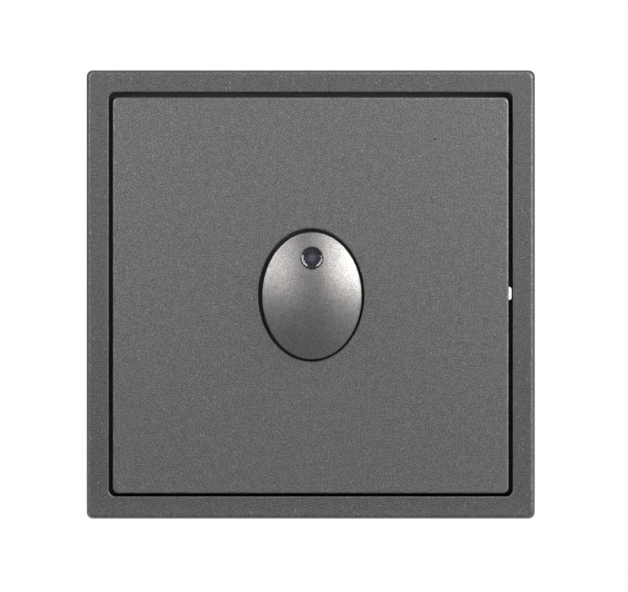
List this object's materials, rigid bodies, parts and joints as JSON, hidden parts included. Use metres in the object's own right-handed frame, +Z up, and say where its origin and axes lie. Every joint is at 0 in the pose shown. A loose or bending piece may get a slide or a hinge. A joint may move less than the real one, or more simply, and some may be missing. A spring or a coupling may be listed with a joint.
{
  "type": "time delay switch",
  "caption": "Square flush wall switch with a clipped panel and a sprung oval push button with a clear indicator.",
  "frame": {"origin": "midway between the two box screws, on the wall", "axes": "+Z up, -Y out of the wall towards the user, +X to the right seen from the front"},
  "size_m": [0.086, 0.0342, 0.086],
  "materials": {
    "frame_finish": "fine-grained metallic paint over moulded plastic",
    "panel_finish": "fine-grained metallic paint over moulded plastic",
    "button_finish": "satin metallic paint",
    "clear_lens": "clear and polished",
    "lamp_resin": "clear, faintly blue",
    "lamp_metal": "tinned",
    "black_moulding": "fine matt",
    "white_moulding": "fine matt",
    "grey_moulding": "fine matt",
    "housing_moulding": "fine matt",
    "spring_wire": "drawn wire",
    "zinc_plate": "zinc plated",
    "terminal_brass": "plain",
    "board_laminate": "green solder mask",
    "film_case": "moulded box",
    "can_sleeve": "shrunk sleeve",
    "chip_resin": "moulded resin",
    "resistor_coat": "dipped",
    "varistor_coat": "dipped"
  },
  "bodies": {
    "body": {"outer_frame": "frame_finish", "front_panel": "panel_finish", "indicator_led": "lamp_resin", "led_leadframe": "lamp_metal", "led_spacer": "black_moulding", "button_spring_left": "spring_wire", "button_spring_right": "spring_wire", "push_switch_body": "black_moulding", "carrier": "grey_moulding", "steel_strap": "zinc_plate", "rear_housing": "housing_moulding", "housing_screws": "zinc_plate", "terminal_plate_left": "terminal_brass", "terminal_plate_right": "terminal_brass", "clamp_washer_left": "zinc_plate", "clamp_washer_right": "zinc_plate", "terminal_screw_left": "zinc_plate", "terminal_screw_right": "zinc_plate", "circuit_board": "board_laminate", "film_capacitor": "film_case", "electrolytic_capacitor": "can_sleeve", "thyristor": "chip_resin", "timer_chip": "chip_resin", "rectifier_diodes": "chip_resin", "resistors": "resistor_coat", "varistor": "varistor_coat"},
    "button": {"oval_button": "button_finish", "indicator_lens": "clear_lens"},
    "plunger": {"push_switch_plunger": "white_moulding"}
  },
  "joints": [
    {"name": "button_press", "type": "slide", "parent": "body", "child": "button", "axis": [0, 1, 0], "range_m": [0, 0.0012], "stiffness_N_per_m": 600, "springref_m": -0.002, "deforming": ["button_spring_left", "button_spring_right"]},
    {"name": "plunger_press", "type": "slide", "parent": "body", "child": "plunger", "axis": [0, 1, 0], "range_m": [0, 0.0012]}
  ],
  "couplings": [
    {"joint": "plunger_press", "follows": "button_press", "ratio": 1}
  ]
}
